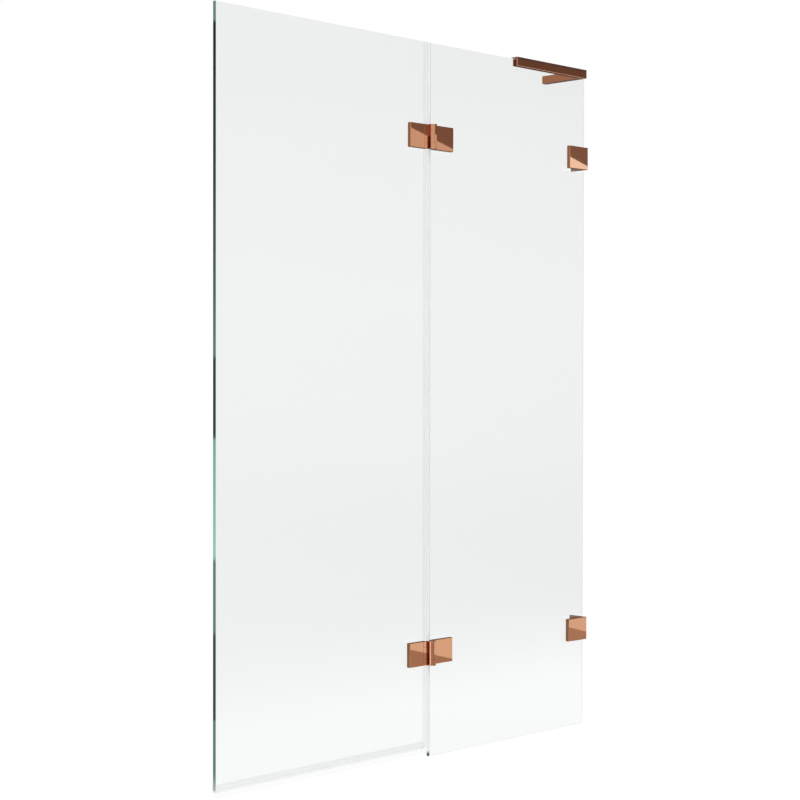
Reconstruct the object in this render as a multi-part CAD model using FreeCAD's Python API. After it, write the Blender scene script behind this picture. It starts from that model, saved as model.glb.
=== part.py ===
import FreeCAD, Part
import math
import os

# Bath screen: a fixed glass pane at the wall and a glass door hinged to its free edge.
# Millimetres. +X along the panes towards the wall, +Y to the bath side, +Z up.
# Origin: middle of the fixed pane's bottom edge, at half its thickness, on the bath rim.

Vector = FreeCAD.Vector

# Panes
screen_width = 1100.0  # wall face to the door's free edge
screen_height = 1500.0  # bath rim to the top edge of both panes
fixed_width = 516.0
glass_thickness = 8.0
glass_arris = 0.8  # ground chamfer along the pane edges
pane_gap = 4.0  # between the fixed pane and the door pane
wall_gap = 2.0  # between the fixed pane and the wall
door_lift = 22.0  # door pane above the rim

# Plates that the hinges and the wall clamps share
upper_fitting_drop = 199.5  # middle of the upper hinge and clamp below the top edge
lower_fitting_height = 220.5  # middle of the lower hinge and clamp above the rim
plate_height = 51.0
plate_thickness = 9.0
plate_bevel = 0.8
gasket_thickness = 0.5
gasket_inset = 1.0  # gasket edge inside the plate edge

# Countersunk screws through the glass
screw_radius = 3.0
screw_head_radius = 6.0
screw_head_depth = 3.0
screw_cover = 2.0  # metal left in front of the screw's tip
screw_clearance = 0.1
socket_flats = 4.0
socket_depth = 2.2

# Wall clamps
clamp_plate_width = 65.5
clamp_bolt_pitch = 22.0
sleeve_wall = 1.9
glass_hole_clearance = 0.2
pad_width = 47.0
pad_height = 42.0
pad_thickness = 6.0
flange_thickness = 6.0
flange_reach = 37.0  # from the middle of the glass
bracket_bevel = 0.6
wall_hole_radius = 2.75
wall_hole_pitch = 28.0
wall_hole_sink_radius = 5.5
wall_hole_sink_depth = 2.75

# Hinges
fixed_leaf_width = 61.5
door_leaf_width = 50.0
knuckle_width = 18.0
knuckle_reach = 15.5  # in front of the plates
knuckle_tail = 3.0  # behind the plates' front faces
knuckle_chamfer = 6.0  # on the two front corners
knuckle_bevel = 0.5
knuckle_side_gap = 0.5  # from a knuckle to the end of the plate beside it
knuckle_split = 0.3  # height of the gap between two knuckles
door_knuckle_height = 24.0
web_lap = 6.0  # how far a knuckle's web runs under its plate
pin_radius = 4.0
pin_clearance = 0.05
pin_cap_thickness = 2.0
bush_wall = 1.5
bush_flange_radius = 6.2
bush_flange_thickness = 0.2
bush_end_gap = 0.4  # between the two bushes inside a knuckle
leaf_screw_pitch = 22.0
cone_head_radius = 8.0
cone_shank_radius = 6.0
cone_depth = 3.0

# Stabiliser
rail_length = 244.0
rail_height = 19.8
rail_wall = 4.0
rail_cover = 4.0  # metal above the liner
rail_bevel = 0.6
liner_thickness = 1.0
liner_recess = 3.0  # liner edge inside the rail's ends and lower edges
arm_width = 15.0
arm_height = 18.0
arm_reach = 116.0  # from the middle of the glass
arm_head_block = 18.0  # solid end beside the rail
arm_end_wall = 4.0
cleat_height = 10.0
cleat_thickness = 6.0
cleat_head_room = 4.0  # space for screw heads between the cleat and the arm
cleat_clearance = 0.3
cleat_hole_radius = 2.25
cleat_hole_pitch = 44.0
cleat_sink_radius = 4.5
cleat_sink_depth = 2.25
grub_radius = 2.5
grub_inset = 45.0  # from each end of the rail
lock_radius = 2.0
lock_pitch = 16.0
grub_flats = 2.0
grub_socket_depth = 1.5
corner_screw_length = 15.0
corner_screw_radius = 2.0
corner_head_radius = 3.6
corner_head_depth = 1.6

# Seals
seal_wall = 1.2
bottom_seal_web = 3.0
bottom_seal_grip = 11.0  # height of the legs beside the glass
lip_thickness = 1.2
lip_drop = 12.0
lip_lean = 3.0  # towards the bath
side_seal_grip = 12.0
side_seal_web = 1.2
side_seal_bead = 5.0  # thickness of the bead in the gap
side_seal_clearance = 0.3  # from the bead to the fixed pane
side_seal_end_gap = 1.0  # to a hinge plate
side_seal_foot = 8.0  # lowest end above the rim
seal_joint_gap = 0.5  # between the bottom seal and the side seal

# Places worked out from the sizes above
fixed_left = -fixed_width / 2
fixed_right = fixed_width / 2
wall_face = fixed_right + wall_gap
door_left = wall_face - screen_width
door_right = fixed_left - pane_gap
glass_back = glass_thickness / 2
glass_front = -glass_back
plate_back = glass_front - gasket_thickness
plate_front = plate_back - plate_thickness
screw_tip = plate_front + screw_cover
pivot_x = fixed_left - knuckle_width / 2
pivot_y = plate_front - knuckle_reach + knuckle_width / 2
pad_front = glass_back + gasket_thickness
pad_back = pad_front + pad_thickness
clamp_left = wall_face - clamp_plate_width
clamp_bolt_x = wall_face - (pad_width + flange_thickness) / 2  # middle of the pad's free width
rail_left = wall_face - rail_length
rail_half_depth = glass_back + liner_thickness + rail_wall
rail_top = screen_height + liner_thickness + rail_cover
rail_bottom = rail_top - rail_height
arm_top = rail_bottom + arm_height  # the arm lies flush with the rail underneath
arm_middle = (rail_bottom + arm_top) / 2
upper_fitting_height = screen_height - upper_fitting_drop
fitting_heights = {"upper": upper_fitting_height, "lower": lower_fitting_height}
towards_front = Vector(0, -1, 0)


def box(low, high):
    size = Vector(*high) - Vector(*low)
    return Part.makeBox(size.x, size.y, size.z, Vector(*low))


def bevelled(solid, bevel):
    return solid.makeChamfer(bevel, solid.Edges)


def rod(start, end, radius):
    way = Vector(*end) - Vector(*start)
    return Part.makeCylinder(radius, way.Length, Vector(*start), way)


def taper(start, end, start_radius, end_radius):
    way = Vector(*end) - Vector(*start)
    return Part.makeCone(start_radius, end_radius, way.Length, Vector(*start), way)


def prism(points, way):
    corners = [Vector(*point) for point in points]
    return Part.Face(Part.makePolygon(corners + corners[:1])).extrude(Vector(*way))


def one_solid(shape):
    solid, = shape.removeSplitter().Solids
    return solid


def hex_socket(mouth, way, flats, depth):
    corner_radius = flats / math.sqrt(3)
    corners = []
    for step in range(6):
        angle = math.radians(60 * step)
        corners.append((corner_radius * math.cos(angle), corner_radius * math.sin(angle), 0))
    socket = prism(corners, (0, 0, depth))
    socket.Placement = FreeCAD.Placement(mouth, FreeCAD.Rotation(Vector(0, 0, 1), way))
    return socket


def sunk_screw(mouth, way, length, radius, head_radius, head_depth, flats, depth):
    mouth = Vector(*mouth)
    neck = mouth + way * head_depth
    head = taper(mouth, neck, head_radius, radius)
    shank = rod(neck, mouth + way * length, radius)
    return one_solid(head.fuse(shank).cut(hex_socket(mouth, way, flats, depth)))


def grub_screw(mouth, tip, radius):
    way = (Vector(*tip) - Vector(*mouth)).normalize()
    return rod(mouth, tip, radius).cut(hex_socket(Vector(*mouth), way, grub_flats, grub_socket_depth))


def glass_screw(x, z, head_face):
    length = head_face - screw_tip
    return sunk_screw((x, head_face, z), towards_front, length, screw_radius,
                      screw_head_radius, screw_head_depth, socket_flats, socket_depth)


def screw_room(x, z, head_face):
    neck = head_face - screw_head_depth
    head = taper((x, head_face, z), (x, neck, z), screw_head_radius + screw_clearance,
                 screw_radius + screw_clearance)
    return head.fuse(rod((x, neck, z), (x, screw_tip, z), screw_radius + screw_clearance))


def cone_body(x, z, growth):
    neck = glass_back - cone_depth
    head = taper((x, glass_back, z), (x, neck, z), cone_head_radius + growth, cone_shank_radius + growth)
    return head.fuse(rod((x, neck, z), (x, glass_front, z), cone_shank_radius + growth))


def leaf_ends(side):
    width = fixed_leaf_width if side > 0 else door_leaf_width
    inner = pivot_x + side * (knuckle_width / 2 + knuckle_side_gap)
    return inner, inner + side * width


def leaf_screw_places(side):
    inner, outer = leaf_ends(side)
    middle = (inner + outer) / 2
    return [middle - leaf_screw_pitch / 2, middle + leaf_screw_pitch / 2]


def clamp_bolt_heights(height):
    return [height - clamp_bolt_pitch / 2, height + clamp_bolt_pitch / 2]


def pane(left, right, bottom):
    return bevelled(box((left, glass_front, bottom), (right, glass_back, screen_height)), glass_arris)


def make_fixed_glass():
    glass = pane(fixed_left, fixed_right, 0)
    for height in fitting_heights.values():
        for x in leaf_screw_places(1):
            glass = glass.cut(cone_body(x, height, glass_hole_clearance))
        for z in clamp_bolt_heights(height):
            radius = sleeve_outer_radius() + glass_hole_clearance
            glass = glass.cut(rod((clamp_bolt_x, glass_back, z), (clamp_bolt_x, glass_front, z), radius))
    return glass


def make_door_glass():
    glass = pane(door_left, door_right, door_lift)
    for height in fitting_heights.values():
        for x in leaf_screw_places(-1):
            glass = glass.cut(cone_body(x, height, glass_hole_clearance))
    return glass


def gasket(left, right, front, height, face_height, screws):
    low = (left + gasket_inset, front, height - face_height / 2 + gasket_inset)
    high = (right - gasket_inset, front + gasket_thickness, height + face_height / 2 - gasket_inset)
    sheet = box(low, high)
    for x, z in screws:
        hole = rod((x, front, z), (x, front + gasket_thickness, z), screw_radius + screw_clearance)
        sheet = sheet.cut(hole)
    return sheet


def sleeve_outer_radius():
    return screw_radius + screw_clearance + sleeve_wall


def make_wall_clamp(height):
    bottom = height - plate_height / 2
    top = height + plate_height / 2
    bolts = [(clamp_bolt_x, z) for z in clamp_bolt_heights(height)]

    plate = bevelled(box((clamp_left, plate_front, bottom), (wall_face, plate_back, top)), plate_bevel)
    pad_low = (wall_face - pad_width, pad_front, height - pad_height / 2)
    pad_high = (wall_face - bracket_bevel, pad_back, height + pad_height / 2)
    pad = bevelled(box(pad_low, pad_high), bracket_bevel)
    flange_low = (wall_face - flange_thickness, pad_front, bottom)
    flange_high = (wall_face, flange_reach, top)
    flange = bevelled(box(flange_low, flange_high), bracket_bevel)
    bracket = pad.fuse(flange)

    hole_y = (pad_back + flange_reach) / 2
    inner_face = wall_face - flange_thickness
    sink_end = inner_face + wall_hole_sink_depth
    for z in (height - wall_hole_pitch / 2, height + wall_hole_pitch / 2):
        bracket = bracket.cut(rod((inner_face, hole_y, z), (wall_face, hole_y, z), wall_hole_radius))
        bracket = bracket.cut(taper((inner_face, hole_y, z), (sink_end, hole_y, z),
                                    wall_hole_sink_radius, wall_hole_radius))

    screws = []
    sleeves = []
    for x, z in bolts:
        plate = plate.cut(screw_room(x, z, pad_back))
        bracket = bracket.cut(screw_room(x, z, pad_back))
        screws.append(glass_screw(x, z, pad_back))
        tube = rod((x, glass_back, z), (x, glass_front, z), sleeve_outer_radius())
        sleeves.append(tube.cut(rod((x, glass_back, z), (x, glass_front, z), screw_radius + screw_clearance)))

    rear_left = wall_face - pad_width
    return {
        "clamp_plate": plate,
        "wall_bracket": one_solid(bracket),
        "clamp_front_gasket": gasket(clamp_left, fixed_right, plate_back, height, plate_height, bolts),
        "clamp_rear_gasket": gasket(rear_left, fixed_right, glass_back, height, pad_height, bolts),
        "clamp_bolts": Part.makeCompound(screws),
        "clamp_sleeves": Part.makeCompound(sleeves),
    }


def knuckle_column(bottom, top):
    half = knuckle_width / 2
    flat = half - knuckle_chamfer
    tail = plate_front + knuckle_tail - pivot_y
    outline = [(-half, tail), (-half, -flat), (-flat, -half), (flat, -half), (half, -flat), (half, tail)]
    corners = [(pivot_x + x, pivot_y + y, bottom) for x, y in outline]
    return bevelled(prism(corners, (0, 0, top - bottom)), knuckle_bevel)


def hinge_leaf(side, height, levels, bore_radius):
    inner, outer = leaf_ends(side)
    bottom = height - plate_height / 2
    top = height + plate_height / 2
    low = (min(inner, outer), plate_front, bottom)
    high = (max(inner, outer), plate_back, top)
    leaf = bevelled(box(low, high), plate_bevel)
    web_end = inner + side * web_lap
    column = knuckle_column(bottom, top)
    for level_bottom, level_top in levels:
        knuckle = column.common(box((pivot_x - knuckle_width, pivot_y - knuckle_width, level_bottom),
                                    (pivot_x + knuckle_width, plate_back, level_top)))
        web_low = (min(pivot_x, web_end), plate_front + plate_bevel, level_bottom + plate_bevel)
        web_high = (max(pivot_x, web_end), plate_back - plate_bevel, level_top - plate_bevel)
        leaf = leaf.fuse(knuckle).fuse(box(web_low, web_high))
    leaf = leaf.cut(rod((pivot_x, pivot_y, bottom), (pivot_x, pivot_y, top), bore_radius))
    for x in leaf_screw_places(side):
        leaf = leaf.cut(screw_room(x, height, glass_back))
    return one_solid(leaf)


def flanged_bush(face, way, length):
    start = Vector(pivot_x, pivot_y, face)
    flange = rod(start + way * bush_flange_thickness, start, bush_flange_radius)
    sleeve = rod(start, start - way * length, pin_radius + pin_clearance + bush_wall)
    bore = rod(start + way * bush_flange_thickness, start - way * length, pin_radius + pin_clearance)
    return one_solid(flange.fuse(sleeve).cut(bore))


def make_hinge(height):
    bottom = height - plate_height / 2
    top = height + plate_height / 2
    door_bottom = height - door_knuckle_height / 2
    door_top = height + door_knuckle_height / 2
    fixed_levels = [(bottom, door_bottom - knuckle_split), (door_top + knuckle_split, top)]
    bush_radius = pin_radius + pin_clearance + bush_wall
    pin_bottom = bottom + pin_cap_thickness
    pin_top = top - pin_cap_thickness
    bush_length = (door_knuckle_height - bush_end_gap) / 2
    upward = Vector(0, 0, 1)

    pieces = {
        "fixed_leaf": hinge_leaf(1, height, fixed_levels, pin_radius + pin_clearance),
        "door_leaf": hinge_leaf(-1, height, [(door_bottom, door_top)], bush_radius + pin_clearance),
        "pin": rod((pivot_x, pivot_y, pin_bottom), (pivot_x, pivot_y, pin_top), pin_radius),
        "pin_caps": Part.makeCompound([
            rod((pivot_x, pivot_y, bottom), (pivot_x, pivot_y, pin_bottom), pin_radius),
            rod((pivot_x, pivot_y, pin_top), (pivot_x, pivot_y, top), pin_radius),
        ]),
        "bushes": Part.makeCompound([
            flanged_bush(door_top, upward, bush_length),
            flanged_bush(door_bottom, -upward, bush_length),
        ]),
    }
    for name, side in (("fixed", 1), ("door", -1)):
        inner, outer = leaf_ends(side)
        places = [(x, height) for x in leaf_screw_places(side)]
        cones = [cone_body(x, z, 0).cut(screw_room(x, z, glass_back)) for x, z in places]
        pieces[name + "_gasket"] = gasket(min(inner, outer), max(inner, outer), plate_back, height,
                                          plate_height, places)
        pieces[name + "_cones"] = Part.makeCompound([one_solid(cone) for cone in cones])
        pieces[name + "_screws"] = Part.makeCompound([glass_screw(x, z, glass_back) for x, z in places])
    return pieces


def make_stabiliser():
    slot_half = glass_back + liner_thickness
    slot_top = screen_height + liner_thickness
    rail = bevelled(box((rail_left, -rail_half_depth, rail_bottom),
                        (wall_face, rail_half_depth, rail_top)), rail_bevel)
    rail = rail.cut(box((rail_left, -slot_half, rail_bottom), (wall_face, slot_half, slot_top)))

    liner_left = rail_left + liner_recess
    liner_bottom = rail_bottom + liner_recess
    liner = box((liner_left, -slot_half, liner_bottom), (fixed_right, slot_half, slot_top))
    liner = liner.cut(box((liner_left, glass_front, liner_bottom), (fixed_right, glass_back, screen_height)))

    arm_left = wall_face - arm_width
    arm = bevelled(box((arm_left, rail_half_depth, rail_bottom),
                       (wall_face, arm_reach, arm_top)), rail_bevel)
    pocket_left = wall_face - cleat_thickness - cleat_head_room
    pocket_near = rail_half_depth + arm_head_block
    pocket_far = arm_reach - arm_end_wall
    pocket_bottom = arm_middle - cleat_height / 2 - cleat_clearance
    pocket_top = arm_middle + cleat_height / 2 + cleat_clearance
    arm = arm.cut(box((pocket_left, pocket_near, pocket_bottom), (wall_face, pocket_far, pocket_top)))

    cleat_left = wall_face - cleat_thickness
    cleat_near = pocket_near + cleat_clearance
    cleat_far = pocket_far - cleat_clearance
    cleat_bottom = arm_middle - cleat_height / 2
    cleat_middle = (cleat_near + cleat_far) / 2
    cleat = box((cleat_left, cleat_near, cleat_bottom), (wall_face, cleat_far, cleat_bottom + cleat_height))
    for y in (cleat_middle - cleat_hole_pitch / 2, cleat_middle + cleat_hole_pitch / 2):
        sink_end = cleat_left + cleat_sink_depth
        cleat = cleat.cut(rod((cleat_left, y, arm_middle), (wall_face, y, arm_middle), cleat_hole_radius))
        cleat = cleat.cut(taper((cleat_left, y, arm_middle), (sink_end, y, arm_middle),
                                cleat_sink_radius, cleat_hole_radius))

    grubs = []
    grub_z = (rail_bottom + screen_height) / 2
    for x in (rail_left + grub_inset, wall_face - grub_inset):
        mouth = (x, rail_half_depth, grub_z)
        tip = (x, slot_half, grub_z)
        rail = rail.cut(rod(mouth, tip, grub_radius + pin_clearance))
        grubs.append(grub_screw(mouth, tip, grub_radius))

    locks = []
    lock_x = cleat_left + cleat_thickness / 2
    for y in (cleat_middle - lock_pitch / 2, cleat_middle + lock_pitch / 2):
        mouth = (lock_x, y, rail_bottom)
        tip = (lock_x, y, cleat_bottom)
        arm = arm.cut(rod(mouth, tip, lock_radius + pin_clearance))
        locks.append(grub_screw(mouth, tip, lock_radius))

    corner_mouth = Vector(wall_face - arm_width / 2, slot_half, arm_middle)
    corner_way = Vector(0, 1, 0)
    corner_neck = corner_mouth + corner_way * corner_head_depth
    corner_tip = corner_mouth + corner_way * corner_screw_length
    corner_room = taper(corner_mouth, corner_neck, corner_head_radius + screw_clearance,
                        corner_screw_radius + screw_clearance)
    corner_room = corner_room.fuse(rod(corner_neck, corner_tip, corner_screw_radius + screw_clearance))
    corner = sunk_screw(corner_mouth, corner_way, corner_screw_length, corner_screw_radius,
                        corner_head_radius, corner_head_depth, grub_flats, grub_socket_depth)
    return {
        "stabiliser_rail": one_solid(rail.cut(corner_room)),
        "stabiliser_liner": liner,
        "stabiliser_wall_arm": one_solid(arm.cut(corner_room)),
        "stabiliser_wall_cleat": cleat,
        "stabiliser_grub_screws": Part.makeCompound(grubs),
        "stabiliser_lock_screws": Part.makeCompound(locks),
        "stabiliser_corner_screw": corner,
    }


def make_bottom_seal():
    outer = glass_back + seal_wall
    left = door_left
    right = door_right - side_seal_grip - seal_joint_gap
    web_bottom = door_lift - bottom_seal_web
    leg_top = door_lift + bottom_seal_grip
    lip_half = lip_thickness / 2
    lip_end = web_bottom - lip_drop
    section = [(-outer, leg_top), (-outer, web_bottom), (-lip_half, web_bottom),
               (lip_lean - lip_half, lip_end), (lip_lean + lip_half, lip_end),
               (lip_half, web_bottom), (outer, web_bottom), (outer, leg_top),
               (glass_back, leg_top), (glass_back, door_lift), (glass_front, door_lift),
               (glass_front, leg_top)]
    return prism([(left, y, z) for y, z in section], (right - left, 0, 0))


def side_seal(bottom, top):
    outer = glass_back + seal_wall
    grip_end = door_right - side_seal_grip
    web_face = door_right + side_seal_web
    bead_tip = fixed_left - side_seal_clearance
    bead_half = side_seal_bead / 2
    nose_half = bead_half / 2
    section = [(grip_end, -outer), (web_face, -outer), (web_face, -bead_half),
               (bead_tip, -nose_half), (bead_tip, nose_half), (web_face, bead_half),
               (web_face, outer), (grip_end, outer), (grip_end, glass_back),
               (door_right, glass_back), (door_right, glass_front), (grip_end, glass_front)]
    return prism([(x, y, bottom) for x, y in section], (0, 0, top - bottom))


def make_side_seals():
    reach = plate_height / 2 + side_seal_end_gap
    return {
        "hinge_seal_bottom": side_seal(side_seal_foot, lower_fitting_height - reach),
        "hinge_seal_middle": side_seal(lower_fitting_height + reach, upper_fitting_height - reach),
        "hinge_seal_top": side_seal(upper_fitting_height + reach, screen_height),
    }


nodes = {"fixed_glass": make_fixed_glass(), "door_glass": make_door_glass()}
for place, fitting_height in fitting_heights.items():
    for piece_name, piece in make_wall_clamp(fitting_height).items():
        nodes[place + "_" + piece_name] = piece
    for piece_name, piece in make_hinge(fitting_height).items():
        nodes[place + "_hinge_" + piece_name] = piece
nodes.update(make_stabiliser())
nodes["door_bottom_seal"] = make_bottom_seal()
nodes.update(make_side_seals())

os.makedirs("parts", exist_ok=True)
for node_name, shape in nodes.items():
    shape.exportStep("parts/" + node_name + ".step")
    print(node_name, len(shape.Solids), "solids", round(shape.Volume), "mm3", shape.isValid())
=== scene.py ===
import math

import bmesh
import bpy
from mathutils import Matrix, Vector


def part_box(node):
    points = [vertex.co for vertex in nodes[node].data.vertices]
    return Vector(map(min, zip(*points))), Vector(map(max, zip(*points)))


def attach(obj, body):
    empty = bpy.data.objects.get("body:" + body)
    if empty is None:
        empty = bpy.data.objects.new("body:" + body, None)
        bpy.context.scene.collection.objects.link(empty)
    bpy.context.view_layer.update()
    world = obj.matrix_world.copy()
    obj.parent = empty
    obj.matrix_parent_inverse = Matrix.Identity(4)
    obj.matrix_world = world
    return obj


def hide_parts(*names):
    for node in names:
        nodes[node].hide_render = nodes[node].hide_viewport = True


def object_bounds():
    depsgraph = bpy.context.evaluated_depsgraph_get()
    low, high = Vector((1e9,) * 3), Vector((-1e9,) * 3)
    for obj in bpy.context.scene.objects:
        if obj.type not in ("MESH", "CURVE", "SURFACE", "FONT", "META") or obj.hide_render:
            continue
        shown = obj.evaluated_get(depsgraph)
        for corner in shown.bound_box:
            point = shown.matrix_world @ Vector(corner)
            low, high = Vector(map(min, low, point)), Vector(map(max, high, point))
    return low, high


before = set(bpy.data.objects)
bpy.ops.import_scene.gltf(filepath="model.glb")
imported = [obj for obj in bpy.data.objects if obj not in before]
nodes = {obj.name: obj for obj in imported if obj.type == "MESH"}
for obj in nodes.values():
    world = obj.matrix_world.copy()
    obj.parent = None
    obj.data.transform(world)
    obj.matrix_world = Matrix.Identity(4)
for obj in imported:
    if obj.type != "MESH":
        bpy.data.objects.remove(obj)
cadLow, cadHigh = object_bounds()
scene = bpy.context.scene
scene.view_settings.view_transform = "Standard"
print("frame loaded:", len(nodes), "nodes")


# small helpers for node trees

def addNode(tree, kind, inputs=None, **settings):
    node = tree.nodes.new(kind)
    for key, value in settings.items():
        setattr(node, key, value)
    for key, value in (inputs or {}).items():
        node.inputs[key].default_value = value
    return node


def wire(tree, *pairs):
    for source, target in pairs:
        tree.links.new(source, target)


def addRamp(tree, stops):
    # ramp from (place, level or colour) pairs, places rising from 0 to 1
    ramp = addNode(tree, "ShaderNodeValToRGB")
    elements = ramp.color_ramp.elements
    elements.remove(elements[1])
    for count, (place, level) in enumerate(stops):
        stop = elements.new(place) if count else elements[0]
        stop.position = place
        stop.color = (*level, 1) if isinstance(level, tuple) else (level, level, level, 1)
    return ramp


def openGroup(name, kind, inputs, outputs):
    tree = bpy.data.node_groups.new(name, kind)
    for socketName, socketKind in inputs:
        tree.interface.new_socket(socketName, in_out="INPUT", socket_type="NodeSocket" + socketKind)
    for socketName, socketKind in outputs:
        tree.interface.new_socket(socketName, in_out="OUTPUT", socket_type="NodeSocket" + socketKind)
    return tree, tree.nodes.new("NodeGroupInput"), tree.nodes.new("NodeGroupOutput")


# camera, where the photograph was taken from
cameraSet = {
    "place": (-2.9806, -2.5808, 0.8016),
    "turn": 45.621,  # degrees from +Y towards +X
    "tilt": -0.781,
    "roll": 0.091,
    "lens": 80.3,
    "sensor": 36.0,
    "farClip": 100.0,
}


def makeCamera(s):
    data = bpy.data.cameras.new("camera")
    data.lens = s["lens"]
    data.sensor_width = s["sensor"]
    data.clip_end = s["farClip"]
    camera = bpy.data.objects.new("camera", data)
    turn = Matrix.Rotation(-math.radians(s["turn"]), 4, "Z")
    tilt = Matrix.Rotation(math.radians(90 + s["tilt"]), 4, "X")
    roll = Matrix.Rotation(math.radians(s["roll"]), 4, "Z")
    camera.matrix_world = Matrix.Translation(s["place"]) @ turn @ tilt @ roll
    scene.collection.objects.link(camera)
    scene.camera = camera


makeCamera(cameraSet)
print("camera set")


# effects that several finishes share

def mottleGroup():
    # soft noise spread between two values
    tree, given, result = openGroup(
        "softMottle", "ShaderNodeTree",
        [("Scale", "Float"), ("Detail", "Float"), ("Low", "Float"), ("High", "Float")],
        [("Value", "Float")])
    coord = addNode(tree, "ShaderNodeTexCoord")
    noise = addNode(tree, "ShaderNodeTexNoise", {"Roughness": 0.55})
    spread = addNode(tree, "ShaderNodeMapRange", {"From Min": 0.3, "From Max": 0.7})
    wire(tree, (coord.outputs["Object"], noise.inputs["Vector"]),
         (given.outputs["Scale"], noise.inputs["Scale"]),
         (given.outputs["Detail"], noise.inputs["Detail"]),
         (noise.outputs["Fac"], spread.inputs["Value"]),
         (given.outputs["Low"], spread.inputs["To Min"]),
         (given.outputs["High"], spread.inputs["To Max"]),
         (spread.outputs["Result"], result.inputs["Value"]))
    return tree


def tintGroup():
    # two close colours that drift into each other
    tree, given, result = openGroup(
        "tintDrift", "ShaderNodeTree",
        [("First", "Color"), ("Second", "Color"), ("Scale", "Float")],
        [("Colour", "Color")])
    coord = addNode(tree, "ShaderNodeTexCoord")
    noise = addNode(tree, "ShaderNodeTexNoise", {"Detail": 3.0})
    mix = addNode(tree, "ShaderNodeMix", data_type="RGBA")
    wire(tree, (coord.outputs["Object"], noise.inputs["Vector"]),
         (given.outputs["Scale"], noise.inputs["Scale"]),
         (noise.outputs["Fac"], mix.inputs["Factor"]),
         (given.outputs["First"], mix.inputs[6]),
         (given.outputs["Second"], mix.inputs[7]),
         (mix.outputs[2], result.inputs["Colour"]))
    return tree


def strokeGroup():
    # fine polishing strokes: noise drawn out along one way
    tree, given, result = openGroup(
        "polishStrokes", "ShaderNodeTree",
        [("Stretch", "Vector"), ("Detail", "Float")],
        [("Height", "Float")])
    coord = addNode(tree, "ShaderNodeTexCoord")
    scale = addNode(tree, "ShaderNodeVectorMath", operation="MULTIPLY")
    noise = addNode(tree, "ShaderNodeTexNoise", {"Scale": 1.0, "Roughness": 0.6})
    wire(tree, (coord.outputs["Object"], scale.inputs[0]),
         (given.outputs["Stretch"], scale.inputs[1]),
         (scale.outputs["Vector"], noise.inputs["Vector"]),
         (given.outputs["Detail"], noise.inputs["Detail"]),
         (noise.outputs["Fac"], result.inputs["Height"]))
    return tree


softMottle = mottleGroup()
tintDrift = tintGroup()
polishStrokes = strokeGroup()
print("shared effects built")


# finishes

def newFinish(name):
    finish = bpy.data.materials.new(name)
    finish.use_nodes = True
    return finish, finish.node_tree, finish.node_tree.nodes["Principled BSDF"]


def placeGroup(tree, group, values):
    node = addNode(tree, "ShaderNodeGroup", node_tree=group)
    for key, value in values.items():
        node.inputs[key].default_value = value
    return node


def addTint(tree, shader, first, second, scale):
    tint = placeGroup(tree, tintDrift, {"First": (*first, 1), "Second": (*second, 1), "Scale": scale})
    wire(tree, (tint.outputs["Colour"], shader.inputs["Base Color"]))


def addMottle(tree, target, scale, low, high):
    mottle = placeGroup(tree, softMottle, {"Scale": scale, "Detail": 4.0, "Low": low, "High": high})
    wire(tree, (mottle.outputs["Value"], target))


def addStrokes(tree, shader, stretch, strength, distance):
    strokes = placeGroup(tree, polishStrokes, {"Stretch": stretch, "Detail": 3.0})
    bump = addNode(tree, "ShaderNodeBump", {"Strength": strength, "Distance": distance})
    wire(tree, (strokes.outputs["Height"], bump.inputs["Height"]),
         (bump.outputs["Normal"], shader.inputs["Normal"]))


def solidFinish(name, s):
    # two close colours, a mottled gloss, and strokes or an even grain
    finish, tree, shader = newFinish(name)
    shader.inputs["Metallic"].default_value = s["metal"]
    addTint(tree, shader, s["first"], s["second"], s["tintScale"])
    addMottle(tree, shader.inputs["Roughness"], s["glossScale"], *s["gloss"])
    addStrokes(tree, shader, s["strokes"], s["strokeStrength"], s["strokeDepth"])
    return finish


copperSet = {
    "metal": 1.0,
    "first": (0.955, 0.475, 0.27),
    "second": (0.94, 0.455, 0.255),
    "tintScale": 26.0,
    "gloss": (0.015, 0.035),
    "glossScale": 90.0,
    "strokes": (900.0, 900.0, 60.0),  # drawn out along Z
    "strokeStrength": 0.05,
    "strokeDepth": 0.000004,
}
steelSet = {
    "metal": 1.0,
    "first": (0.62, 0.61, 0.6),
    "second": (0.7, 0.69, 0.68),
    "tintScale": 160.0,
    "gloss": (0.2, 0.34),
    "glossScale": 420.0,
    "strokes": (2600.0, 300.0, 2600.0),  # along each screw
    "strokeStrength": 0.25,
    "strokeDepth": 0.00002,
}
nylonSet = {
    "metal": 0.0,
    "first": (0.82, 0.82, 0.79),
    "second": (0.88, 0.88, 0.86),
    "tintScale": 220.0,
    "gloss": (0.42, 0.55),
    "glossScale": 600.0,
    "strokes": (1500.0, 1500.0, 1500.0),
    "strokeStrength": 0.3,
    "strokeDepth": 0.00004,
}
gasketSet = {
    "metal": 0.0,
    "first": (0.78, 0.8, 0.8),
    "second": (0.85, 0.87, 0.87),
    "tintScale": 120.0,
    "gloss": (0.35, 0.5),
    "glossScale": 500.0,
    "strokes": (900.0, 900.0, 900.0),
    "strokeStrength": 0.3,
    "strokeDepth": 0.00005,
}
polishedCopper = solidFinish("polishedCopper", copperSet)
stainlessSteel = solidFinish("stainlessSteel", steelSet)
whiteNylon = solidFinish("whiteNylon", nylonSet)
gasketVinyl = solidFinish("gasketVinyl", gasketSet)


vinylSet = {
    "first": (0.74, 0.77, 0.77),
    "second": (0.8, 0.83, 0.83),
    "tintScale": 40.0,
    "gloss": (0.18, 0.3),
    "glossScale": 200.0,
    "turn": 0.35,  # how soon it counts as turned away
    # how much it hides, seen square on and turned away
    "hazy": (0.05, 0.2),  # grip on the door's foot
    "fine": (0.04, 0.16),  # drip lip and hinge side
    "cut": (0.6, 0.8),  # sawn ends
}


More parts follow.
